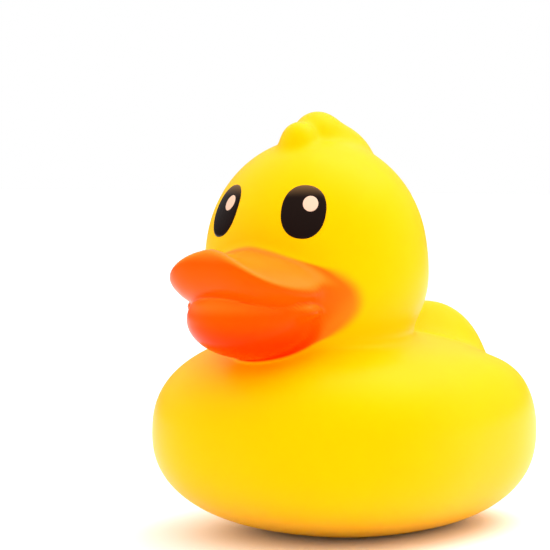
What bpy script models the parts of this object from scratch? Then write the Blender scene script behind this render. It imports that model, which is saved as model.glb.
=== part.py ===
"""Rubber duck: one hollow moulded skin with a squeaker set in its base.

Units are metres, +Z is up, the duck looks along -Y and its left side is +X.
The origin is on the floor, under the middle of the duck's box.
A place is (across, back, up) and radii are given in the same order.
"""
import math

import bmesh
import bpy
import numpy as np
from mathutils import Matrix

MM = 0.001

# Head and neck
HEAD_PLACE = (0.0, -10.1 * MM, 57.1 * MM)
HEAD_RADII = (22.5 * MM, 22.2 * MM, 23.8 * MM)
JAW_PLACE = (0.0, -10.1 * MM, 51.5 * MM)
JAW_RADII = (22.3 * MM, 20.5 * MM, 15.6 * MM)
JAW_BLEND = 5.0 * MM

# Tuft: three lobes on the crown, from the front one to the long one swept back
TUFT_LOBES = (
    {"place": (0.0, -16.8 * MM, 80.0 * MM), "radii": (3.5 * MM, 3.1 * MM, 4.0 * MM), "blend": 3.2 * MM},
    {"place": (0.0, -9.8 * MM, 80.7 * MM), "radii": (5.0 * MM, 5.2 * MM, 5.3 * MM), "blend": 3.4 * MM},
    {"place": (0.0, -2.4 * MM, 78.4 * MM), "radii": (6.0 * MM, 9.5 * MM, 4.7 * MM), "blend": 5.5 * MM},
)
TUFT_SWEEP = math.radians(-26.0)

# Body, tail and wings
BODY_PLACE = (0.0, 1.4 * MM, 20.4 * MM)
BODY_RADII = (35.4 * MM, 43.2 * MM, 21.6 * MM)
BODY_FULLNESS = 2.36
BODY_LEAN = math.radians(-3.0)
TAIL_PLACE = (0.0, 34.3 * MM, 33.0 * MM)
TAIL_RADII = (12.0 * MM, 10.2 * MM, 13.3 * MM)
TAIL_LEAN = math.radians(24.6)
WING_PLACE = (25.0 * MM, 7.5 * MM, 24.6 * MM)
WING_RADII = (9.0 * MM, 19.5 * MM, 11.0 * MM)
WING_LIFT = math.radians(8.0)
NECK_BLEND = 10.0 * MM
TAIL_BLEND = 9.0 * MM
WING_BLEND = 5.0 * MM

# Bill: placed from the mouth line as (across, forward, up)
MOUTH_PLACE = (0.0, -10.1 * MM, 50.2 * MM)
UPPER_LIP_PLACE = (0.0, 14.0 * MM, 6.0 * MM)
UPPER_LIP_RADII = (17.2 * MM, 23.2 * MM, 11.0 * MM)
UPPER_LIP_SQUARENESS = 3.6
LOWER_LIP_PLACE = (0.0, 22.2 * MM, -4.5 * MM)
LOWER_LIP_RADII = (12.6 * MM, 13.8 * MM, 7.9 * MM)
CORNER_PLACE = (11.4 * MM, 21.2 * MM, -2.8 * MM)
CORNER_RADII = (4.2 * MM, 4.4 * MM, 2.0 * MM)

# The bill's top runs from its root on the head up to its rim, and both fall to the corners
ROOT_HEIGHT = 9.0 * MM
ROOT_RADIUS = 22.2 * MM
ROOT_HALF_WIDTH = 17.0 * MM
ROOT_FALL = 0.70
ROOT_POWER = 1.6
RIM_HEIGHT = 10.4 * MM
RIM_HALF_WIDTH = 15.5 * MM
RIM_POWER = 1.5
MIDDLE_RISE = 1.6
CORNER_RISE = 0.55
RISE_CHANGE = (6.0 * MM, 16.0 * MM)
DISH = 1.2 * MM
DISH_WIDTH = 9.0 * MM
RIM_BLEND = 3.0 * MM
LIP_BLEND = 3.0 * MM
CORNER_BLEND = 4.0 * MM
BILL_BLEND = 7.0 * MM

# Skin and base. The rough ball finds the skin, and the net is evened out and settled onto it
WALL = 2.2 * MM
BASE_BLEND = 1.6 * MM
BASE_FLAT = 0.15 * MM
SKIN_NET = 2.6 * MM
CAVITY_NET = 5.0 * MM
ROUGH_SEGMENTS = (144, 128)
SETTLING_ROUNDS = 4
SETTLING_SHARE = 0.4
SETTLING_STEPS = 3
LONGEST_STEP = 0.5 * MM

# The rays that find the skin start here, and slide along each arm as they turn to it.
# They are crowded towards the bill and towards level by these shares.
RAY_START = (0.0, -2.0 * MM, 36.0 * MM)
RAY_ARMS = (
    {"along": (0.0, -0.80, 0.60), "reach": 20.0 * MM, "from": 0.60, "to": 1.05},
    {"along": (0.0, 0.0, 1.0), "reach": 21.0 * MM, "from": 0.25, "to": 1.00},
    {"along": (0.0, 0.88, -0.47), "reach": 19.0 * MM, "from": 0.10, "to": 0.85},
    {"along": (0.0, 0.2, -1.0), "reach": 12.0 * MM, "from": 0.20, "to": 0.90},
)
RAY_LENGTH = 75.0 * MM
FRONT_CROWDING = 0.35
LEVEL_CROWDING = 0.20

# Squeaker and its seat in the base
SEAT_BORE = 6.4 * MM
SEAT_RECESS = 8.0 * MM
SEAT_RECESS_DEPTH = 1.4 * MM
SEAT_BOSS = 9.6 * MM
SEAT_BOSS_TOP = 5.5 * MM
GAP = 0.3 * MM
FLANGE_LOW = 0.3 * MM
FLANGE_THICK = 0.8 * MM
HOUSING_TOP = 9.0 * MM
HOUSING_WALL = 1.0 * MM
AIR_HOLE = 1.5 * MM
LEDGE_BORE = 3.4 * MM
LEDGE_HEIGHT = 4.2 * MM
REED_THICK = 0.8 * MM
REED_SLIT = (1.2 * MM, 5.0 * MM)
TURNED_SEGMENTS = 40

YELLOW = (0.98, 0.66, 0.01, 1.0)
CLEAR_WHITE = (0.86, 0.86, 0.83, 1.0)
REED_WHITE = (0.92, 0.90, 0.84, 1.0)


def clear_scene():
    for item in list(bpy.data.objects):
        bpy.data.objects.remove(item, do_unlink=True)


def make_material(name, colour, roughness):
    material = bpy.data.materials.new(name)
    material.use_nodes = True
    shader = material.node_tree.nodes["Principled BSDF"]
    shader.inputs["Base Color"].default_value = colour
    shader.inputs["Roughness"].default_value = roughness
    shader.inputs["Metallic"].default_value = 0.0
    return material


def egg(points, place, radii):
    """Distance to an ellipsoid: k0 (k0 - 1) / k1, close to the true one near the surface."""
    scaled = (points - np.array(place)) / np.array(radii)
    k0 = np.linalg.norm(scaled, axis=-1)
    k1 = np.linalg.norm(scaled / np.array(radii), axis=-1)
    return k0 * (k0 - 1.0) / np.maximum(k1, 1e-9)


def full_egg(points, place, radii, fullness):
    """Distance to an ellipsoid with fuller shoulders: its power is the fullness, not two."""
    scaled = np.abs(points - np.array(place)) / np.array(radii) + 1e-9
    size = (scaled ** fullness).sum(axis=-1) ** (1.0 / fullness)
    slope = (scaled / size[..., None]) ** (fullness - 1.0) / np.array(radii)
    return (size - 1.0) / np.linalg.norm(slope, axis=-1)


def join(first, second, blend):
    """Smallest of two distances, with a fillet about as wide as the blend."""
    near = np.maximum(blend - np.abs(first - second), 0.0) / blend
    return np.minimum(first, second) - near ** 3 * blend / 6.0


def keep_both(first, second, blend):
    """Largest of two distances, with a rounded edge about as wide as the blend."""
    return -join(-first, -second, blend)


def lean(points, place, angle):
    """Points turned about the across axis, so that a shape at the place tips forward."""
    moved = points - np.array(place)
    back = moved[..., 1] * math.cos(angle) + moved[..., 2] * math.sin(angle)
    up = moved[..., 2] * math.cos(angle) - moved[..., 1] * math.sin(angle)
    return np.stack([moved[..., 0], back, up], axis=-1) + np.array(place)


def head_shape(points):
    head = egg(points, HEAD_PLACE, HEAD_RADII)
    head = join(head, egg(points, JAW_PLACE, JAW_RADII), JAW_BLEND)
    for lobe in reversed(TUFT_LOBES):
        turned = lean(points, lobe["place"], TUFT_SWEEP)
        head = join(head, egg(turned, lobe["place"], lobe["radii"]), lobe["blend"])
    return head


def smooth_step(value, low, high):
    part = np.clip((value - low) / (high - low), 0.0, 1.0)
    return part * part * (3.0 - 2.0 * part)


def body_shape(points):
    body = full_egg(lean(points, BODY_PLACE, BODY_LEAN), BODY_PLACE, BODY_RADII, BODY_FULLNESS)
    tail = egg(lean(points, TAIL_PLACE, TAIL_LEAN), TAIL_PLACE, TAIL_RADII)
    body = join(body, tail, TAIL_BLEND)
    wing = egg(lean(points, WING_PLACE, WING_LIFT), WING_PLACE, WING_RADII)
    return join(body, wing, WING_BLEND)


def from_mouth(points):
    """Points as the bill sees them: across, forward of the head, above the mouth line."""
    moved = points - np.array(MOUTH_PLACE)
    return np.stack([moved[..., 0], -moved[..., 1], moved[..., 2]], axis=-1)


def upper_outline(near):
    """A pillow that is a superellipse from above: its value divided by its slope."""
    scaled = (near - np.array(UPPER_LIP_PLACE)) / np.array(UPPER_LIP_RADII)
    across = np.abs(scaled[..., 0])
    value = across ** UPPER_LIP_SQUARENESS + scaled[..., 1] ** 2 + scaled[..., 2] ** 2 - 1.0
    steepness = UPPER_LIP_SQUARENESS / 2.0 * across ** (UPPER_LIP_SQUARENESS - 1.0)
    steps = np.stack([steepness, scaled[..., 1], scaled[..., 2]], axis=-1)
    slope = np.linalg.norm(2.0 * steps / np.array(UPPER_LIP_RADII), axis=-1)
    return value / np.maximum(slope, 0.05 / MM)


def upper_top(near):
    """Height of the bill's top: from the root to the flared rim, with a dish between them."""
    across = np.abs(near[..., 0])
    root_height = ROOT_HEIGHT * (1.0 - ROOT_FALL * (across / ROOT_HALF_WIDTH) ** ROOT_POWER)
    rim_height = RIM_HEIGHT * (1.0 - (across / RIM_HALF_WIDTH) ** RIM_POWER)
    root_reach = np.sqrt(np.maximum(ROOT_RADIUS ** 2 - across ** 2, MM ** 2))
    wide = np.clip(across / UPPER_LIP_RADII[0], 0.0, 0.98) ** UPPER_LIP_SQUARENESS
    rim_reach = UPPER_LIP_PLACE[1] + UPPER_LIP_RADII[1] * np.sqrt(1.0 - wide)
    along = np.clip((near[..., 1] - root_reach) / np.maximum(rim_reach - root_reach, MM), 0.0, 1.15)
    rise = MIDDLE_RISE + (CORNER_RISE - MIDDLE_RISE) * smooth_step(across, *RISE_CHANGE)
    dish = DISH * 4.0 * along * np.maximum(1.0 - along, 0.0) * np.exp(-((across / DISH_WIDTH) ** 2))
    return root_height + (rim_height - root_height) * along ** rise - dish


def bill_shape(points):
    """Two pillow lips that meet at the corners. The upper one is cut off by its dished top."""
    near = from_mouth(points)
    upper = keep_both(upper_outline(near), near[..., 2] - upper_top(near), RIM_BLEND)
    lower = egg(near, LOWER_LIP_PLACE, LOWER_LIP_RADII)
    lower = join(lower, egg(near, CORNER_PLACE, CORNER_RADII), CORNER_BLEND)
    return join(upper, lower, LIP_BLEND)


def duck_shape(points):
    """Distance to the duck's skin, negative inside. The duck is the same on both sides."""
    points = np.stack([np.abs(points[..., 0]), points[..., 1], points[..., 2]], axis=-1)
    duck = join(head_shape(points), body_shape(points), NECK_BLEND)
    duck = join(duck, bill_shape(points), BILL_BLEND)
    return keep_both(duck, -points[..., 2], BASE_BLEND)


def ray_starts(directions):
    """Where each ray starts: it slides out along an arm as the ray turns to that arm."""
    starts = np.broadcast_to(np.array(RAY_START), directions.shape).copy()
    for arm in RAY_ARMS:
        along = np.array(arm["along"]) / np.linalg.norm(arm["along"])
        slide = smooth_step(directions @ along, arm["from"], arm["to"])
        starts += arm["reach"] * slide[:, None] * along
    return starts


def reach_skin(directions, depth):
    """Walk out along each ray to the first crossing of the skin at a depth, then halve to it."""
    starts = ray_starts(directions)
    steps = np.linspace(0.0, RAY_LENGTH, 60)
    walked = np.stack([duck_shape(starts + directions * step) + depth for step in steps], axis=1)
    first = np.argmax(walked > 0.0, axis=1)
    low = steps[np.maximum(first - 1, 0)]
    high = steps[first]
    for _ in range(24):
        middle = (low + high) / 2.0
        outside = duck_shape(starts + directions * middle[:, None]) + depth > 0.0
        high = np.where(outside, middle, high)
        low = np.where(outside, low, middle)
    return starts + directions * middle[:, None]


def link(name, mesh, material):
    item = bpy.data.objects.new(name, mesh)
    bpy.context.scene.collection.objects.link(item)
    if material:
        item.data.materials.append(material)
    return item


def crowd(directions):
    """Turn unit vectors towards the bill and towards level, each by a sine of their angle."""
    up = np.arcsin(np.clip(directions[:, 2], -1.0, 1.0))
    around = np.arctan2(directions[:, 0], -directions[:, 1])
    up = up - LEVEL_CROWDING * np.sin(2.0 * up) / 2.0
    around = around - FRONT_CROWDING * np.sin(around)
    across = np.cos(up) * np.sin(around)
    return np.stack([across, -np.cos(up) * np.cos(around), np.sin(up)], axis=-1)


def onto_skin(places, depth):
    """One short step down the distance's slope, measured by small steps along each axis."""
    step = 0.02 * MM
    sides = [duck_shape(places + axis * step) - duck_shape(places - axis * step) for axis in np.eye(3)]
    slope = np.stack(sides, axis=-1) / (2.0 * step)
    away = (duck_shape(places) + depth) / np.maximum((slope ** 2).sum(axis=-1), 0.5)
    return places - slope * np.clip(away, -LONGEST_STEP, LONGEST_STEP)[:, None]


def even_net(mesh, size, depth):
    """A net of even squares over the same form, settled onto the skin between light smoothings."""
    rough = link("rough", mesh, None)
    remesh = rough.modifiers.new("remesh", "REMESH")
    remesh.mode = "VOXEL"
    remesh.voxel_size = size
    evaluated = rough.evaluated_get(bpy.context.evaluated_depsgraph_get())
    shell = bmesh.new()
    shell.from_mesh(evaluated.to_mesh())
    evaluated.to_mesh_clear()
    bpy.data.objects.remove(rough, do_unlink=True)
    for _ in range(SETTLING_ROUNDS):
        bmesh.ops.smooth_vert(
            shell,
            verts=shell.verts,
            factor=SETTLING_SHARE,
            use_axis_x=True,
            use_axis_y=True,
            use_axis_z=True,
        )
        places = np.array([vertex.co for vertex in shell.verts])
        for _ in range(SETTLING_STEPS):
            places = onto_skin(places, depth)
        for vertex, place in zip(shell.verts, places):
            vertex.co = place
    return shell


def make_skin(name, size, depth, floor, material=None):
    """A sphere whose vertices are pushed out to a depth below the duck's skin, netted evenly."""
    ball = bmesh.new()
    bmesh.ops.create_uvsphere(ball, u_segments=ROUGH_SEGMENTS[0], v_segments=ROUGH_SEGMENTS[1], radius=1.0)
    directions = np.array([vertex.co.normalized() for vertex in ball.verts])
    places = reach_skin(crowd(directions), depth)
    for vertex, place in zip(ball.verts, places):
        vertex.co = place
    rough = bpy.data.meshes.new("rough")
    ball.to_mesh(rough)
    ball.free()
    shell = even_net(rough, size, depth)
    for vertex in shell.verts:
        if vertex.co.z < floor + BASE_FLAT:
            vertex.co.z = floor
    bmesh.ops.triangulate(shell, faces=shell.faces)
    bmesh.ops.recalc_face_normals(shell, faces=shell.faces)
    for face in shell.faces:
        face.smooth = True
    mesh = bpy.data.meshes.new(name)
    shell.to_mesh(mesh)
    shell.free()
    return link(name, mesh, material)


def make_turned(name, profile, material=None):
    """A closed profile of (radius, height) points spun about the squeaker's upright axis."""
    turned = bmesh.new()
    ring = [turned.verts.new((radius, 0.0, height)) for radius, height in profile]
    edges = [turned.edges.new((ring[i], ring[(i + 1) % len(ring)])) for i in range(len(ring))]
    bmesh.ops.spin(
        turned,
        geom=ring + edges,
        cent=(0, 0, 0),
        axis=(0, 0, 1),
        angle=2.0 * math.pi,
        steps=TURNED_SEGMENTS,
        use_merge=True,
    )
    bmesh.ops.recalc_face_normals(turned, faces=turned.faces)
    mesh = bpy.data.meshes.new(name)
    turned.to_mesh(mesh)
    turned.free()
    return link(name, mesh, material)


def make_disc(name, radius, low, high, material=None):
    disc = bmesh.new()
    bmesh.ops.create_cone(
        disc,
        cap_ends=True,
        segments=TURNED_SEGMENTS,
        radius1=radius,
        radius2=radius,
        depth=high - low,
        matrix=Matrix.Translation((0.0, 0.0, (low + high) / 2.0)),
    )
    mesh = bpy.data.meshes.new(name)
    disc.to_mesh(mesh)
    disc.free()
    return link(name, mesh, material)


def make_block(name, size, centre_height):
    block = bmesh.new()
    bmesh.ops.create_cube(block, size=1.0)
    bmesh.ops.scale(block, vec=size, verts=block.verts)
    bmesh.ops.translate(block, vec=(0.0, 0.0, centre_height), verts=block.verts)
    mesh = bpy.data.meshes.new(name)
    block.to_mesh(mesh)
    block.free()
    return link(name, mesh, None)


def combine(target, tool, operation):
    """Boolean with a helper object, which stays hidden and is not a piece of the duck."""
    modifier = target.modifiers.new(tool.name, "BOOLEAN")
    modifier.operation = operation
    modifier.solver = "EXACT"
    modifier.object = tool
    tool.hide_render = True
    tool.display_type = "WIRE"


def build_duck_body():
    """Skin less cavity, both slid along so that the skin's box is centred on the origin."""
    vinyl = make_material("yellow_vinyl", YELLOW, 0.38)
    body = make_skin("duck_body", SKIN_NET, 0.0, 0.0, vinyl)
    cavity = make_skin("cavity", CAVITY_NET, WALL, WALL)
    backs = [vertex.co.y for vertex in body.data.vertices]
    centring = Matrix.Translation((0.0, -(min(backs) + max(backs)) / 2.0, 0.0))
    for item in (body, cavity):
        item.data.transform(centring)
    combine(body, cavity, "DIFFERENCE")
    combine(body, make_disc("seat_boss", SEAT_BOSS, WALL / 2.0, SEAT_BOSS_TOP), "UNION")
    combine(body, make_disc("seat_bore", SEAT_BORE, -WALL, 2.0 * SEAT_BOSS_TOP), "DIFFERENCE")
    combine(body, make_disc("seat_recess", SEAT_RECESS, -WALL, SEAT_RECESS_DEPTH), "DIFFERENCE")
    return body


def build_squeaker_housing():
    plastic = make_material("squeaker_plastic", CLEAR_WHITE, 0.45)
    outer = SEAT_BORE - GAP
    inner = outer - HOUSING_WALL
    flange_top = FLANGE_LOW + FLANGE_THICK
    profile = (
        (AIR_HOLE, FLANGE_LOW),
        (SEAT_RECESS - GAP, FLANGE_LOW),
        (SEAT_RECESS - GAP, flange_top),
        (outer, flange_top),
        (outer, HOUSING_TOP),
        (inner, HOUSING_TOP),
        (inner, LEDGE_HEIGHT),
        (LEDGE_BORE, LEDGE_HEIGHT),
        (LEDGE_BORE, flange_top + FLANGE_THICK),
        (AIR_HOLE, flange_top + FLANGE_THICK),
    )
    return make_turned("squeaker_housing", profile, plastic)


def build_squeaker_reed():
    plastic = make_material("reed_plastic", REED_WHITE, 0.35)
    radius = SEAT_BORE - GAP - HOUSING_WALL - GAP
    low = LEDGE_HEIGHT + GAP
    reed = make_disc("squeaker_reed", radius, low, low + REED_THICK, plastic)
    slit = make_block("reed_slit", (REED_SLIT[0], REED_SLIT[1], 4.0 * REED_THICK), low)
    combine(reed, slit, "DIFFERENCE")
    return reed


clear_scene()
build_duck_body()
build_squeaker_housing()
build_squeaker_reed()
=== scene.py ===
# The finished look of the rubber duck: its moulded skin, sprayed bill, printed eyes and squeaker.
import math

import bpy
import numpy as np
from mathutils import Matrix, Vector


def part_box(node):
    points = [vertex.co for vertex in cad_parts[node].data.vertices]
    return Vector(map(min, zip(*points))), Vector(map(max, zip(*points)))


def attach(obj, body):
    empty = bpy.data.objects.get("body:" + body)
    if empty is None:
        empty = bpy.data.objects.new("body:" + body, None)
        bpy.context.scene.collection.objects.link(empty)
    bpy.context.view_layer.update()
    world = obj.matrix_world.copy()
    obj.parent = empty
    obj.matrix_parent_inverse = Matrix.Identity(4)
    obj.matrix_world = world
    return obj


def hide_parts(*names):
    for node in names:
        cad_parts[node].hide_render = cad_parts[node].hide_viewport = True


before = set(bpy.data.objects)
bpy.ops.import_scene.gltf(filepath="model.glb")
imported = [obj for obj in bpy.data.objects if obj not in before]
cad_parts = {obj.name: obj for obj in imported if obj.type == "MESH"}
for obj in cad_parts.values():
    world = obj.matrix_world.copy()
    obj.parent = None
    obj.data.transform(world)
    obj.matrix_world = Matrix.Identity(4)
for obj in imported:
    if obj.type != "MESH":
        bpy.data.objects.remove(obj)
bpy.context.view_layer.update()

# The duck's form is written in millimetres of a duck this tall, then scaled to the frame's box.
formTall = 86.0
duckLow, duckHigh = (np.array(corner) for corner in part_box("duck_body"))
mm = (duckHigh[2] - duckLow[2]) / formTall


# Distance to an ellipsoid: k0 (k0 - 1) / k1, where k0 and k1 are the lengths of the point
# divided by the radii once and twice.
def eggDistance(points, place, radii):
    scaled = (points - np.array(place)) / np.array(radii)
    k0 = np.linalg.norm(scaled, axis=-1)
    k1 = np.linalg.norm(scaled / np.array(radii), axis=-1)
    return k0 * (k0 - 1.0) / np.maximum(k1, 1e-9)


# The same for an ellipsoid with fuller shoulders: the power is the fullness instead of two.
def fullEggDistance(points, place, radii, fullness):
    scaled = np.abs(points - np.array(place)) / np.array(radii) + 1e-9
    size = (scaled ** fullness).sum(axis=-1) ** (1.0 / fullness)
    slope = (scaled / size[..., None]) ** (fullness - 1.0) / np.array(radii)
    return (size - 1.0) / np.linalg.norm(slope, axis=-1)


# The smaller of two distances, less a cubic fillet where they are within a blend of each other.
def join(first, second, blend):
    near = np.maximum(blend - np.abs(first - second), 0.0) / blend
    return np.minimum(first, second) - near ** 3 * blend / 6.0


def keepBoth(first, second, blend):
    return -join(-first, -second, blend)


# Points turned about the across axis through a place. A shape read at them has its back end
# raised where the degrees are positive, and lowered where they are negative.
def lean(points, place, degrees):
    angle = math.radians(degrees)
    moved = points - np.array(place)
    back = moved[..., 1] * math.cos(angle) + moved[..., 2] * math.sin(angle)
    up = moved[..., 2] * math.cos(angle) - moved[..., 1] * math.sin(angle)
    return np.stack([moved[..., 0], back, up], axis=-1) + np.array(place)


def smoothStep(value, low, high):
    part = np.clip((value - low) / (high - low), 0.0, 1.0)
    return part * part * (3.0 - 2.0 * part)


# A mesh object from a grid of points whose columns close on themselves. The first and last rows
# are one point each, so they become poles, closed by fans. It also gives the grid points used.
def gridObject(name, grid):
    rows, columns = grid.shape[:2]
    here = np.arange((rows - 1) * columns).reshape(rows - 1, columns)
    right = np.roll(here, -1, axis=1)
    quads = np.stack([here, here + columns, right + columns, right], axis=-1)[1:rows - 2]
    firstPole = columns - 1
    lastPole = (rows - 1) * columns
    firstFan = np.stack([np.full(columns, firstPole), here[1], right[1]], axis=-1)
    lastFan = np.stack([here[rows - 2], np.full(columns, lastPole), right[rows - 2]], axis=-1)
    used = slice(firstPole, lastPole + 1)
    verts = grid.reshape(-1, 3)[used]
    loops = np.concatenate([part.reshape(-1) for part in (quads, firstFan, lastFan)]) - firstPole
    sizes = np.concatenate([np.full(len(quads) * columns, 4), np.full(2 * columns, 3)])
    mesh = bpy.data.meshes.new(name)
    mesh.vertices.add(len(verts))
    mesh.vertices.foreach_set("co", verts.astype(np.float32).reshape(-1))
    mesh.loops.add(len(loops))
    mesh.loops.foreach_set("vertex_index", loops.astype(np.int32))
    mesh.polygons.add(len(sizes))
    starts = np.concatenate([[0], np.cumsum(sizes)[:-1]])
    mesh.polygons.foreach_set("loop_start", starts.astype(np.int32))
    mesh.polygons.foreach_set("use_smooth", np.ones(len(sizes), dtype=bool))
    mesh.update(calc_edges=True)
    mesh.validate()
    piece = bpy.data.objects.new(name, mesh)
    bpy.context.scene.collection.objects.link(piece)
    return piece, used


def addAttribute(piece, name, values):
    attribute = piece.data.attributes.new(name, "FLOAT", "POINT")
    attribute.data.foreach_set("value", values.astype(np.float32).reshape(-1))


# Places are (across, back, up) in form millimetres, and radii and angles go with them.
duckForm = {
    "head": {"place": (0.0, -10.1, 57.1), "radii": (22.5, 22.2, 23.8)},
    "jaw": {"place": (0.0, -10.1, 51.5), "radii": (22.3, 20.5, 15.6), "blend": 5.0},
    "tuft": (
        {"place": (0.0, -2.4, 78.4), "radii": (6.0, 9.5, 4.7), "sweep": 26.0, "blend": 5.5},
        {"place": (0.0, -9.8, 80.7), "radii": (5.0, 5.2, 5.3), "sweep": 26.0, "blend": 3.4},
        {"place": (0.0, -16.8, 80.0), "radii": (3.5, 3.1, 4.0), "sweep": 26.0, "blend": 3.2},
    ),
    "body": {"place": (0.0, 1.4, 20.4), "radii": (35.4, 43.2, 21.6), "fullness": 2.36, "lean": -3.0},
    "tail": {"place": (0.0, 34.3, 33.0), "radii": (12.0, 10.2, 13.3), "lean": 24.6, "blend": 9.0},
    "wing": {"place": (25.0, 7.5, 24.6), "radii": (9.0, 19.5, 11.0), "lift": 8.0, "blend": 5.0},
    "neckBlend": 8.0,
    "baseBlend": 1.6,
}

# The bill's two lips are placed from the mouth line: (across, forward, up).
billForm = {
    "mouth": (0.0, -10.1, 50.2),
    "upper": {"place": (0.0, 14.0, 6.0), "radii": (17.2, 23.2, 11.0), "squareness": 3.6},
    "lower": {"place": (0.0, 22.2, -4.5), "radii": (11.9, 13.8, 7.9)},
    "corner": {"place": (11.2, 21.4, -2.6), "radii": (4.0, 4.4, 1.9), "blend": 3.5},
    "crease": {"place": (17.2, 19.2, -0.8), "radii": (2.6, 1.8, 3.8), "blend": 3.0},
    "root": {"height": 9.0, "radius": 22.2, "fall": 0.70, "halfWidth": 17.0, "power": 1.6},
    "rim": {"height": 10.4, "halfWidth": 15.5, "power": 1.5},
    "rise": (1.6, 0.55),
    "riseChange": (6.0, 16.0),
    "dish": 1.2,
    "dishWidth": 9.0,
    "tipLimit": 0.98,
    "pastRim": 1.15,
    "leastReach": 1.0,
    "leastSlope": 0.05,
    "rimBlend": 2.2,
    "lipBlend": 0.6,
    "headBlend": 3.0,
}


def headDistance(points):
    head = eggDistance(points, duckForm["head"]["place"], duckForm["head"]["radii"])
    jaw = eggDistance(points, duckForm["jaw"]["place"], duckForm["jaw"]["radii"])
    head = join(head, jaw, duckForm["jaw"]["blend"])
    for lobe in duckForm["tuft"]:
        turned = lean(points, lobe["place"], -lobe["sweep"])
        head = join(head, eggDistance(turned, lobe["place"], lobe["radii"]), lobe["blend"])
    return head


def bodyDistance(points):
    form = duckForm["body"]
    turned = lean(points, form["place"], form["lean"])
    body = fullEggDistance(turned, form["place"], form["radii"], form["fullness"])
    tail = duckForm["tail"]
    turned = lean(points, tail["place"], tail["lean"])
    body = join(body, eggDistance(turned, tail["place"], tail["radii"]), tail["blend"])
    wing = duckForm["wing"]
    turned = lean(points, wing["place"], wing["lift"])
    return join(body, eggDistance(turned, wing["place"], wing["radii"]), wing["blend"])


# Points as the bill sees them: across, forward of the head's middle, and above the mouth line.
def fromMouth(points):
    moved = points - np.array(billForm["mouth"])
    return np.stack([moved[..., 0], -moved[..., 1], moved[..., 2]], axis=-1)


# The upper lip seen from above is a superellipse, whose power is higher across than forward,
# and it bulges like a pillow between its rim and the mouth. The distance is the value of its
# formula over the formula's slope.
def upperOutline(near):
    form = billForm["upper"]
    scaled = (near - np.array(form["place"])) / np.array(form["radii"])
    across = np.abs(scaled[..., 0])
    value = across ** form["squareness"] + scaled[..., 1] ** 2 + scaled[..., 2] ** 2 - 1.0
    steps = np.stack([form["squareness"] / 2.0 * across ** (form["squareness"] - 1.0),
                      scaled[..., 1], scaled[..., 2]], axis=-1)
    slope = np.linalg.norm(2.0 * steps / np.array(form["radii"]), axis=-1)
    return value / np.maximum(slope, billForm["leastSlope"])


# Height of the upper lip's top. It runs from its root on the head to its flared rim, both of
# which fall towards the mouth corners, and it is dished in the middle.
def upperTop(near):
    root = billForm["root"]
    rim = billForm["rim"]
    across = np.abs(near[..., 0])
    least = billForm["leastReach"]
    rootHeight = root["height"] * (1.0 - root["fall"] * (across / root["halfWidth"]) ** root["power"])
    rimHeight = rim["height"] * (1.0 - (across / rim["halfWidth"]) ** rim["power"])
    rootReach = np.sqrt(np.maximum(root["radius"] ** 2 - across ** 2, least))
    form = billForm["upper"]
    wide = np.clip(across / form["radii"][0], 0.0, billForm["tipLimit"]) ** form["squareness"]
    rimReach = form["place"][1] + form["radii"][1] * np.sqrt(1.0 - wide)
    along = (near[..., 1] - rootReach) / np.maximum(rimReach - rootReach, least)
    along = np.clip(along, 0.0, billForm["pastRim"])
    middle = np.exp(-((across / billForm["dishWidth"]) ** 2))
    dish = billForm["dish"] * 4.0 * along * np.maximum(1.0 - along, 0.0) * middle
    middleRise, cornerRise = billForm["rise"]
    rise = middleRise + (cornerRise - middleRise) * smoothStep(across, *billForm["riseChange"])
    return rootHeight + (rimHeight - rootHeight) * along ** rise - dish


# Two pillow lips: the upper one cut off by its dished top, and the lower one an ellipsoid.
def billDistance(points):
    near = fromMouth(points)
    upper = keepBoth(upperOutline(near), near[..., 2] - upperTop(near), billForm["rimBlend"])
    lower = eggDistance(near, billForm["lower"]["place"], billForm["lower"]["radii"])
    corner = eggDistance(near, billForm["corner"]["place"], billForm["corner"]["radii"])
    lower = join(lower, corner, billForm["corner"]["blend"])
    return join(upper, lower, billForm["lipBlend"])


# Distance to the whole skin, negative inside. Both sides of the duck are alike.
def duckDistance(points):
    points = np.stack([np.abs(points[..., 0]), points[..., 1], points[..., 2]], axis=-1)
    duck = join(headDistance(points), bodyDistance(points), duckForm["neckBlend"])
    duck = join(duck, billDistance(points), billForm["headBlend"])
    crease = billForm["crease"]
    dent = eggDistance(fromMouth(points), crease["place"], crease["radii"])
    duck = keepBoth(duck, -dent, crease["blend"])
    return keepBoth(duck, -points[..., 2], duckForm["baseBlend"])


# The slope of the distance by small steps each way along the three axes.
def duckSlope(points):
    step = 0.02
    sides = []
    for axis in np.eye(3):
        sides.append(duckDistance(points + axis * step) - duckDistance(points - axis * step))
    slope = np.stack(sides, axis=-1)
    return slope / np.maximum(np.linalg.norm(slope, axis=-1, keepdims=True), 1e-9)


# Each round moves the points down the slope by their distance, which brings them nearer the skin.
def ontoSkin(points, rounds):
    for _ in range(rounds):
        points = points - duckDistance(points)[..., None] * duckSlope(points)
    return points


skinGrid = {
    "rows": 360,
    "columns": 236,
    "frontCrowding": 0.35,
    "middleCrowding": 0.20,
    "lowestLook": -62.0,
    "start": (0.0, -2.0, 36.0),
    "arms": (
        {"along": (0.0, -0.80, 0.60), "reach": 20.0, "from": 0.60, "to": 1.05},
        {"along": (0.0, 0.00, 1.00), "reach": 21.0, "from": 0.25, "to": 1.00},
        {"along": (0.0, 0.88, -0.47), "reach": 19.0, "from": 0.10, "to": 0.85},
        {"along": (0.0, 0.20, -1.00), "reach": 12.0, "from": 0.20, "to": 0.90},
    ),
    "rayLength": 75.0,
    "raySteps": 60,
    "rayHalvings": 20,
    "easing": 12,
    "easeShare": 0.5,
    "flat": 0.12,
}


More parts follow.
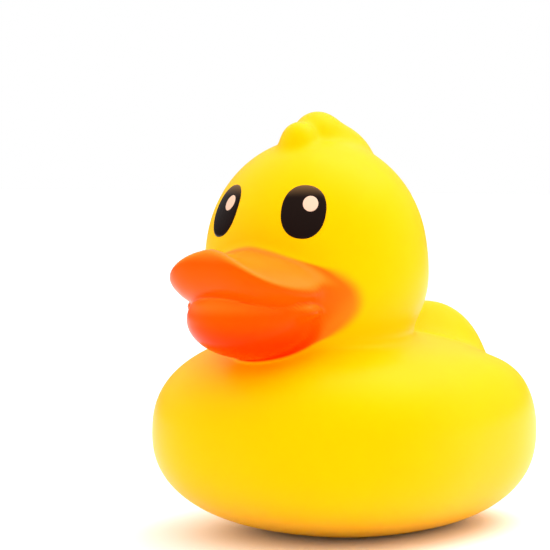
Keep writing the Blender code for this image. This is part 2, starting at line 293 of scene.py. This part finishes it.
# Directions from straight up round to the lowest look. Looking up or down is crowded towards
# level, and looking round is crowded towards the bill, by a sine each.
def lookDirections(options):
    lowest = math.radians(options["lowestLook"])
    up = np.linspace(math.pi / 2, lowest, options["rows"])[:, None]
    up = up - options["middleCrowding"] * np.sin(2.0 * up) / 2.0
    around = (np.arange(options["columns"]) * 2.0 * math.pi / options["columns"])[None, :]
    around = around - options["frontCrowding"] * np.sin(around)
    across = np.cos(up) * np.sin(around)
    back = -np.cos(up) * np.cos(around)
    return np.stack([across, back, np.sin(up) * np.ones_like(around)], axis=-1)


# Each ray leaves a start that slides out along an arm as the ray turns towards that arm, to
# fan the rays apart. The skin is where the distance first turns positive.
def castSkin(options):
    directions = lookDirections(options)
    starts = np.broadcast_to(np.array(options["start"]), directions.shape).copy()
    for arm in options["arms"]:
        along = np.array(arm["along"]) / np.linalg.norm(arm["along"])
        slide = smoothStep(directions @ along, arm["from"], arm["to"])
        starts += arm["reach"] * slide[..., None] * along
    low = np.zeros(directions.shape[:2])
    found = np.zeros(directions.shape[:2], dtype=bool)
    pace = options["rayLength"] / options["raySteps"]
    for step in range(1, options["raySteps"] + 1):
        outside = duckDistance(starts + directions * (step * pace)) > 0.0
        low = np.where(~found & ~outside, step * pace, low)
        found |= outside
    high = low + pace
    for _ in range(options["rayHalvings"]):
        middle = (low + high) / 2.0
        outside = duckDistance(starts + directions * middle[..., None]) > 0.0
        high = np.where(outside, middle, high)
        low = np.where(outside, low, middle)
    return starts + directions * middle[..., None]


# Evens the net out: each point goes part of the way to the middle of its four neighbours, and
# then back towards the skin down the slope of the distance.
def easeGrid(grid, rounds, share):
    for _ in range(rounds):
        beside = (np.roll(grid, 1, axis=1) + np.roll(grid, -1, axis=1)) / 2.0
        above = (grid[2:] + grid[:-2]) / 2.0
        eased = grid.copy()
        eased[1:-1] = grid[1:-1] * (1.0 - share) + (beside[1:-1] + above) * (share / 2.0)
        grid = ontoSkin(eased, 1)
    return grid


seat = {
    "bore": 6.4,
    "recess": 8.0,
    "depth": 1.4,
    "edge": 0.25,
    "blind": 10.5,
    "surround": 1.2,
}


# The squeaker's seat in the base: rings that step in and up from the flat of the base.
def seatRows(columns):
    around = np.arange(columns) * 2.0 * math.pi / columns
    around = around - skinGrid["frontCrowding"] * np.sin(around)
    profile = (
        (seat["recess"] + seat["surround"], 0.0),
        (seat["recess"] + seat["edge"], 0.0),
        (seat["recess"], seat["edge"]),
        (seat["recess"], seat["depth"]),
        (seat["bore"] + seat["edge"], seat["depth"]),
        (seat["bore"], seat["depth"] + seat["edge"]),
        (seat["bore"], seat["blind"]),
        (0.0, seat["blind"]),
    )
    rings = []
    for radius, height in profile:
        level = np.full(columns, height)
        rings.append(np.stack([radius * np.sin(around), -radius * np.cos(around), level], axis=-1))
    return np.stack(rings)


# Form millimetres to the frame's metres, with the duck's box centred as the CAD box is.
def toFrame(points, middleBack):
    centre = (duckLow + duckHigh) / 2.0
    moved = points - np.array([0.0, middleBack, 0.0])
    return moved * mm + np.array([centre[0], centre[1], duckLow[2]])


paint = {
    "billMargin": 0.55,
    "cheekPlace": (24.0, -2.6),
    "cheekRadii": (12.2, 9.4),
    "cheekBlend": 2.0,
    "crispEdge": 0.35,
    "softEdge": 1.5,
    "softAcross": (11.0, 17.0),
    "softBack": (-20.0, -15.0),
    # The next two ranges and the top's strength make the spray lighter where it faces up, which is painted
    # light; the depth below the mouth makes it deeper, which is painted shade.
    "litTopFacing": (0.1, 0.7),
    "litTopHeight": (-7.0, 1.0),
    "cheekBack": (-22.0, -15.0),
    "paintedShadeDepth": (2.0, 10.0),
    "driftWidth": (0.0, 2.0),
    "shadeAndTone": 0.5,
    "topPaintedLight": 0.5,
    "driftLighter": 0.25,
    "cheekLighter": 0.2,
}


# Signed distance in millimetres to the edge of the orange spray, and how soft that edge is.
# The spray covers the bill and drifts over the mouth corners onto the cheeks. The last value, the orange's
# shade and tone, runs from light orange at zero to deep orange at one: lighter on up-facing tops as painted
# light, deeper below the mouth line as painted shade, and lighter where the spray drifts thin off the bill
# and back onto the cheeks.
def sprayValues(points):
    points = np.stack([np.abs(points[..., 0]), points[..., 1], points[..., 2]], axis=-1)
    near = fromMouth(points)
    bill = billDistance(points) - paint["billMargin"]
    cheek = eggDistance(near[..., 1:], paint["cheekPlace"], paint["cheekRadii"])
    edge = join(bill, cheek, paint["cheekBlend"])
    back = -near[..., 1]
    behind = smoothStep(near[..., 0], *paint["softAcross"]) * smoothStep(back, *paint["softBack"])
    soft = paint["crispEdge"] + (paint["softEdge"] - paint["crispEdge"]) * behind
    facingUp = duckSlope(points)[..., 2]
    # Painted light: the orange is made lighter where the surface faces up on top of the bill.
    paintedLightOnTop = smoothStep(facingUp, *paint["litTopFacing"]) * smoothStep(near[..., 2], *paint["litTopHeight"])
    onCheek = smoothStep(back, *paint["cheekBack"])
    # Painted shade: the orange is made deeper below the mouth line, underneath the lower lip.
    under = smoothStep(-near[..., 2], *paint["paintedShadeDepth"])
    offBill = smoothStep(bill, *paint["driftWidth"])
    # Lightening from painted light on top, plus real thinner spray where it drifts off the bill and back
    # onto the cheeks.
    paintedLightAndThinSpray = paint["topPaintedLight"] * paintedLightOnTop + paint["driftLighter"] * offBill + paint["cheekLighter"] * onCheek
    shadeAndTone = np.clip(paint["shadeAndTone"] + (1.0 - paint["shadeAndTone"]) * under * (1.0 - offBill) - paintedLightAndThinSpray, 0.0, 1.0)
    return edge, soft, shadeAndTone


# The cast and eased net, joined to the rings of the squeaker's seat.
def makeSkin():
    grid = easeGrid(castSkin(skinGrid), skinGrid["easing"], skinGrid["easeShare"])
    grid[..., 2] = np.where(grid[..., 2] < skinGrid["flat"], 0.0, grid[..., 2])
    middleBack = (grid[..., 1].min() + grid[..., 1].max()) / 2.0
    rings = seatRows(skinGrid["columns"]) + np.array([0.0, middleBack, 0.0])
    whole = np.concatenate([grid, rings])
    edge, soft, shadeAndTone = sprayValues(whole)
    skin, used = gridObject("duck_skin", toFrame(whole, middleBack))
    addAttribute(skin, "sprayEdge", edge.reshape(-1)[used])
    addAttribute(skin, "spraySoft", soft.reshape(-1)[used])
    addAttribute(skin, "sprayShadeAndTone", shadeAndTone.reshape(-1)[used])
    return skin, middleBack


eyes = {
    "turn": 27.5,
    "height": 9.6,
    "half": (4.5, 5.7),
    "squareness": 2.25,
    "tilt": -5.0,
    "thickness": 0.14,
    "rings": 22,
    "columns": 96,
    "shoulder": 8,
    "sunk": 0.25,
    "glintThickness": 0.05,
    "glintSquareness": 2.0,
    "glints": (
        {"at": (1.35, 1.45), "half": (1.5, 1.65)},
    ),
}


# Where an eye lies on the head: its middle point, and unit vectors across and up the skin.
def eyePlane(side):
    turn = math.radians(eyes["turn"]) * side
    head = np.array(duckForm["head"]["place"])
    radius = duckForm["head"]["radii"][0]
    level = math.sqrt(1.0 - (eyes["height"] / duckForm["head"]["radii"][2]) ** 2) * radius
    middle = head + np.array([level * math.sin(turn), -level * math.cos(turn), eyes["height"]])
    middle = ontoSkin(middle[None, :], 4)[0]
    outward = duckSlope(middle[None, :])[0]
    across = np.cross(np.array([0.0, 0.0, 1.0]), outward)
    across = across / np.linalg.norm(across)
    return middle, across, np.cross(outward, across)


# A thin raised pad on the head. Its outline is a superellipse, and its height over the skin
# falls off towards the rim like a rounded shoulder.
def makePad(name, side, at, half, lift, thickness, squareness, tilt, middleBack):
    middle, across, up = eyePlane(side)
    rings = np.linspace(0.0, 1.0, eyes["rings"])[:, None]
    angle = (np.arange(eyes["columns"]) * 2.0 * math.pi / eyes["columns"])[None, :]
    size = np.abs(np.cos(angle)) ** squareness + np.abs(np.sin(angle)) ** squareness
    size = size ** (-1.0 / squareness)
    sideways = rings * half[0] * size * np.cos(angle)
    upward = rings * half[1] * size * np.sin(angle)
    turn = math.radians(tilt)
    x = at[0] + sideways * math.cos(turn) - upward * math.sin(turn)
    y = at[1] + sideways * math.sin(turn) + upward * math.cos(turn)
    flat = middle + x[..., None] * across + y[..., None] * up
    onSkin = ontoSkin(flat, 3)
    shoulder = np.sqrt(np.clip(1.0 - rings ** eyes["shoulder"], 0.0, 1.0)) * np.ones_like(angle)
    height = lift + thickness * shoulder
    raised = onSkin + duckSlope(onSkin) * height[..., None]
    under = onSkin[::-1] - duckSlope(onSkin[::-1]) * eyes["sunk"]
    rim = np.concatenate([raised, under])
    pad, used = gridObject(name, toFrame(rim, middleBack))
    height = np.broadcast_to(y / half[1], onSkin.shape[:2])
    addAttribute(pad, "inkHeight", np.concatenate([height, height[::-1]]).reshape(-1)[used])
    return pad


def makeEyes(middleBack):
    pads = []
    for side, label in ((1.0, "left"), (-1.0, "right")):
        eye = makePad("eye_" + label, side, (0.0, 0.0), eyes["half"], 0.0,
                      eyes["thickness"], eyes["squareness"], eyes["tilt"] * side, middleBack)
        pads.append((eye, "eye"))
        for count, glint in enumerate(eyes["glints"]):
            dot = makePad("glint_%s_%d" % (label, count + 1), side, glint["at"], glint["half"],
                          eyes["thickness"], eyes["glintThickness"], eyes["glintSquareness"], 0.0,
                          middleBack)
            pads.append((dot, "glint"))
    return pads


def newMaterial(name):
    material = bpy.data.materials.new(name)
    material.use_nodes = True
    nodes = material.node_tree.nodes
    return material, nodes, material.node_tree.links, nodes["Principled BSDF"]


def mixColour(nodes, links, factor, first, second):
    mix = nodes.new("ShaderNodeMix")
    mix.data_type = "RGBA"
    links.new(factor, mix.inputs[0])
    for socket, value in ((mix.inputs[6], first), (mix.inputs[7], second)):
        if isinstance(value, tuple):
            socket.default_value = value
        else:
            links.new(value, socket)
    return mix.outputs[2]


def mixNumber(nodes, links, factor, first, second):
    mix = nodes.new("ShaderNodeMix")
    links.new(factor, mix.inputs[0])
    links.new(first, mix.inputs[2])
    if isinstance(second, float):
        mix.inputs[3].default_value = second
    else:
        links.new(second, mix.inputs[3])
    return mix.outputs[0]


# Scales count the noise per metre, and the bump's depth is in metres.
grainLook = {
    "detail": 3.0,
    "mottleScale": 55.0,
    "mottleDetail": 2.0,
    "depth": 0.00006,
    "vinyl": {"scale": 900.0, "strength": 0.10},
    "ink": {"scale": 1500.0, "strength": 0.05},
    "plastic": {"scale": 1200.0, "strength": 0.15},
}


# Fine moulded grain as a shared group: a scale in, and a bump height and a broad mottle out.
def makeGrainGroup():
    group = bpy.data.node_groups.new("vinyl grain", "ShaderNodeTree")
    group.interface.new_socket("Scale", in_out="INPUT", socket_type="NodeSocketFloat")
    group.interface.new_socket("Height", in_out="OUTPUT", socket_type="NodeSocketFloat")
    group.interface.new_socket("Mottle", in_out="OUTPUT", socket_type="NodeSocketFloat")
    nodes = group.nodes
    links = group.links
    enter = nodes.new("NodeGroupInput")
    leave = nodes.new("NodeGroupOutput")
    place = nodes.new("ShaderNodeTexCoord")
    fine = nodes.new("ShaderNodeTexNoise")
    fine.inputs["Detail"].default_value = grainLook["detail"]
    links.new(place.outputs["Object"], fine.inputs["Vector"])
    links.new(enter.outputs["Scale"], fine.inputs["Scale"])
    broad = nodes.new("ShaderNodeTexNoise")
    broad.inputs["Scale"].default_value = grainLook["mottleScale"]
    broad.inputs["Detail"].default_value = grainLook["mottleDetail"]
    links.new(place.outputs["Object"], broad.inputs["Vector"])
    links.new(fine.outputs["Fac"], leave.inputs["Height"])
    links.new(broad.outputs["Fac"], leave.inputs["Mottle"])
    return group


def addGrain(nodes, links, shader, group, finish):
    grain = nodes.new("ShaderNodeGroup")
    grain.node_tree = group
    grain.inputs["Scale"].default_value = grainLook[finish]["scale"]
    bump = nodes.new("ShaderNodeBump")
    bump.inputs["Strength"].default_value = grainLook[finish]["strength"]
    bump.inputs["Distance"].default_value = grainLook["depth"]
    links.new(grain.outputs["Height"], bump.inputs["Height"])
    links.new(bump.outputs["Normal"], shader.inputs["Normal"])
    return grain


vinylLook = {
    "yellow": (0.98, 0.50, 0.0, 1.0),
    "yellowWarm": (0.98, 0.46, 0.0, 1.0),
    # The orange ramp: its light end is painted light on the bill's top and also thin drifted spray, and its
    # deep end is painted shade underneath.
    "orangeLitAndThin": (0.98, 0.19, 0.008, 1.0),
    "orange": (0.98, 0.082, 0.0, 1.0),
    "orangePaintedShade": (0.93, 0.026, 0.0, 1.0),
    "roughness": 0.36,
    "paintRoughness": 0.30,
    "gloss": 0.10,
    "glossTint": (1.0, 0.75, 0.1, 1.0),
    "glow": 0.3,
    "glowReach": (1.0, 0.45, 0.1),
    "glowScale": 0.003,
}


# Yellow under the spray's edge, and orange over it, lighter on up-facing tops as painted light and deep
# underneath as painted shade.
def makeVinyl(grainGroup):
    material, nodes, links, shader = newMaterial("yellow vinyl")
    grain = addGrain(nodes, links, shader, grainGroup, "vinyl")
    mottle = grain.outputs["Mottle"]
    yellow = mixColour(nodes, links, mottle, vinylLook["yellow"], vinylLook["yellowWarm"])
    edge = nodes.new("ShaderNodeAttribute")
    edge.attribute_name = "sprayEdge"
    soft = nodes.new("ShaderNodeAttribute")
    soft.attribute_name = "spraySoft"
    below = nodes.new("ShaderNodeMath")
    below.operation = "MULTIPLY"
    below.inputs[1].default_value = -1.0
    links.new(soft.outputs["Fac"], below.inputs[0])
    spray = nodes.new("ShaderNodeMapRange")
    spray.interpolation_type = "SMOOTHSTEP"
    links.new(edge.outputs["Fac"], spray.inputs["Value"])
    links.new(soft.outputs["Fac"], spray.inputs["From Min"])
    links.new(below.outputs[0], spray.inputs["From Max"])
    # The orange ramp reads the spray's value that carries painted light on top, painted shade underneath and
    # thin drifted spray.
    shadeAndTone = nodes.new("ShaderNodeAttribute")
    shadeAndTone.attribute_name = "sprayShadeAndTone"
    ramp = nodes.new("ShaderNodeValToRGB")
    ramp.color_ramp.elements[0].color = vinylLook["orangeLitAndThin"]
    ramp.color_ramp.elements[1].color = vinylLook["orangePaintedShade"]
    ramp.color_ramp.elements.new(0.5).color = vinylLook["orange"]
    links.new(shadeAndTone.outputs["Fac"], ramp.inputs["Fac"])
    colour = mixColour(nodes, links, spray.outputs["Result"], yellow, ramp.outputs["Color"])
    links.new(colour, shader.inputs["Base Color"])
    rough = nodes.new("ShaderNodeMapRange")
    rough.inputs["To Min"].default_value = vinylLook["roughness"]
    rough.inputs["To Max"].default_value = vinylLook["paintRoughness"]
    links.new(spray.outputs["Result"], rough.inputs["Value"])
    links.new(rough.outputs["Result"], shader.inputs["Roughness"])
    shader.inputs["Specular IOR Level"].default_value = vinylLook["gloss"]
    shader.inputs["Specular Tint"].default_value = vinylLook["glossTint"]
    shader.inputs["Subsurface Weight"].default_value = vinylLook["glow"]
    shader.inputs["Subsurface Radius"].default_value = vinylLook["glowReach"]
    shader.inputs["Subsurface Scale"].default_value = vinylLook["glowScale"]
    return material


inkLook = {
    "black": (0.006, 0.003, 0.003, 1.0),
    "blackWarm": (0.012, 0.006, 0.005, 1.0),
    # The brown is a painted sheen: a reflection of overhead light put into the ink's colour near the eye's
    # top.
    "paintedSheen": (0.16, 0.085, 0.035, 1.0),
    "paintedSheenHeights": (0.45, 1.15),
    "roughness": 0.24,
    "gloss": 0.06,
    "glossTint": (1.0, 0.75, 0.50, 1.0),
    "cream": (0.80, 0.52, 0.36, 1.0),
    "creamDeep": (0.72, 0.44, 0.30, 1.0),
    "creamRoughness": 0.35,
}


# Black ink that turns brown towards the top of the eye, a painted sheen standing in for the reflection of
# overhead light.
def makeEyeInk(grainGroup):
    material, nodes, links, shader = newMaterial("black eye ink")
    grain = addGrain(nodes, links, shader, grainGroup, "ink")
    dark = mixColour(nodes, links, grain.outputs["Mottle"], inkLook["black"], inkLook["blackWarm"])
    height = nodes.new("ShaderNodeAttribute")
    height.attribute_name = "inkHeight"
    # Painted sheen: the ink is mixed towards brown near the top of the eye.
    turn = nodes.new("ShaderNodeMapRange")
    turn.interpolation_type = "SMOOTHSTEP"
    turn.inputs["From Min"].default_value = inkLook["paintedSheenHeights"][0]
    turn.inputs["From Max"].default_value = inkLook["paintedSheenHeights"][1]
    links.new(height.outputs["Fac"], turn.inputs["Value"])
    colour = mixColour(nodes, links, turn.outputs["Result"], dark, inkLook["paintedSheen"])
    links.new(colour, shader.inputs["Base Color"])
    shader.inputs["Roughness"].default_value = inkLook["roughness"]
    shader.inputs["Specular IOR Level"].default_value = inkLook["gloss"]
    shader.inputs["Specular Tint"].default_value = inkLook["glossTint"]
    return material


def makeGlintInk(grainGroup):
    material, nodes, links, shader = newMaterial("cream glint ink")
    grain = addGrain(nodes, links, shader, grainGroup, "ink")
    colour = mixColour(nodes, links, grain.outputs["Mottle"], inkLook["cream"], inkLook["creamDeep"])
    links.new(colour, shader.inputs["Base Color"])
    shader.inputs["Roughness"].default_value = inkLook["creamRoughness"]
    return material


plasticLook = {
    "glow": 0.1,
    "glowScale": 0.001,
    "squeaker_housing": {
        "name": "squeaker plastic",
        "colours": ((0.82, 0.82, 0.79, 1.0), (0.74, 0.74, 0.71, 1.0)),
        "roughness": 0.42,
    },
    "squeaker_reed": {
        "name": "reed plastic",
        "colours": ((0.88, 0.85, 0.78, 1.0), (0.80, 0.77, 0.70, 1.0)),
        "roughness": 0.34,
    },
}


def makePlastic(grainGroup, options):
    material, nodes, links, shader = newMaterial(options["name"])
    grain = addGrain(nodes, links, shader, grainGroup, "plastic")
    colour = mixColour(nodes, links, grain.outputs["Mottle"], *options["colours"])
    links.new(colour, shader.inputs["Base Color"])
    shader.inputs["Roughness"].default_value = options["roughness"]
    shader.inputs["Subsurface Weight"].default_value = plasticLook["glow"]
    shader.inputs["Subsurface Scale"].default_value = plasticLook["glowScale"]
    return material


# The lens and sensor are in millimetres, and the shift is a share of the picture's width.
studio = {
    "azimuth": 33.9,
    "elevation": 6.5,
    "distance": 0.45,
    "aim": (0.0, 0.0, 25.0),
    "lens": 141.58,
    "sensor": 36.0,
    "shift": (-0.126, 0.24273),
    "nearest": 0.01,
    "floor": {"half": 4.0, "colour": (0.97, 0.97, 0.97, 1.0), "roughness": 0.9},
    "backdrop": 1.0,
    "skyLow": 1.0,
    "skyHigh": 1.6,
    "gleamLow": 0.05,
    "gleamHigh": 1.5,
    "key": {"place": (0.25, 0.20, 0.80), "size": 0.7, "watts": 4.5, "aimHeight": 0.04},
}


def makeCamera(middleBack):
    data = bpy.data.cameras.new("camera")
    camera = bpy.data.objects.new("camera", data)
    bpy.context.scene.collection.objects.link(camera)
    azimuth = math.radians(studio["azimuth"])
    elevation = math.radians(studio["elevation"])
    back = np.array([
        math.sin(azimuth) * math.cos(elevation),
        -math.cos(azimuth) * math.cos(elevation),
        math.sin(elevation),
    ])
    aim = toFrame(np.array(studio["aim"]), middleBack)
    camera.location = aim + back * studio["distance"]
    camera.rotation_euler = (math.pi / 2 - elevation, 0.0, azimuth)
    data.sensor_width = studio["sensor"]
    data.lens = studio["lens"]
    data.shift_x, data.shift_y = studio["shift"]
    data.clip_start = studio["nearest"]
    bpy.context.scene.camera = camera


def makeLight(name, options):
    data = bpy.data.lights.new(name, "AREA")
    data.size = options["size"]
    data.energy = options["watts"]
    light = bpy.data.objects.new(name, data)
    bpy.context.scene.collection.objects.link(light)
    light.location = options["place"]
    toDuck = Vector((0.0, 0.0, options["aimHeight"])) - light.location
    light.rotation_euler = toDuck.to_track_quat("-Z", "Y").to_euler()


def makeFloor():
    options = studio["floor"]
    half = options["half"]
    corners = [(-half, -half, 0), (half, -half, 0), (half, half, 0), (-half, half, 0)]
    mesh = bpy.data.meshes.new("floor")
    mesh.from_pydata(corners, [], [(0, 1, 2, 3)])
    floor = bpy.data.objects.new("floor", mesh)
    bpy.context.scene.collection.objects.link(floor)
    material, _, _, shader = newMaterial("pale floor")
    shader.inputs["Base Color"].default_value = options["colour"]
    shader.inputs["Roughness"].default_value = options["roughness"]
    shader.inputs["Specular IOR Level"].default_value = 0.0
    floor.data.materials.append(material)


# A pale studio: soft light that grows from level to overhead. Gloss sees the same studio with
# dark walls, and what shows behind the duck is plain white.
def makeWorld():
    world = bpy.data.worlds.new("studio")
    world.use_nodes = True
    bpy.context.scene.world = world
    nodes = world.node_tree.nodes
    links = world.node_tree.links
    direction = nodes.new("ShaderNodeTexCoord")
    parts = nodes.new("ShaderNodeSeparateXYZ")
    links.new(direction.outputs["Generated"], parts.inputs[0])
    strengths = []
    for low, high in (("skyLow", "skyHigh"), ("gleamLow", "gleamHigh")):
        ramp = nodes.new("ShaderNodeMapRange")
        ramp.inputs["To Min"].default_value = studio[low]
        ramp.inputs["To Max"].default_value = studio[high]
        links.new(parts.outputs["Z"], ramp.inputs["Value"])
        strengths.append(ramp.outputs["Result"])
    path = nodes.new("ShaderNodeLightPath")
    gloss = mixNumber(nodes, links, path.outputs["Is Glossy Ray"], strengths[0], strengths[1])
    shown = mixNumber(nodes, links, path.outputs["Is Camera Ray"], gloss, studio["backdrop"])
    links.new(shown, nodes["Background"].inputs["Strength"])
    nodes["Background"].inputs["Color"].default_value = (1.0, 1.0, 1.0, 1.0)


grainGroup = makeGrainGroup()
duckSkin, skinMiddle = makeSkin()
duckSkin.data.materials.append(makeVinyl(grainGroup))
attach(duckSkin, "root")
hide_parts("duck_body")
print("skin made: %d points" % len(duckSkin.data.vertices))

inks = {"eye": makeEyeInk(grainGroup), "glint": makeGlintInk(grainGroup)}
for pad, ink in makeEyes(skinMiddle):
    pad.data.materials.append(inks[ink])
    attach(pad, "root")
print("eyes made")

for node in ("squeaker_housing", "squeaker_reed"):
    plastic = makePlastic(grainGroup, plasticLook[node])
    bpy.data.objects[node].material_slots[0].material = plastic
print("squeaker finished")

makeCamera(skinMiddle)
makeLight("key light", studio["key"])
makeFloor()
makeWorld()
bpy.context.scene.view_settings.view_transform = "Standard"
print("studio made")
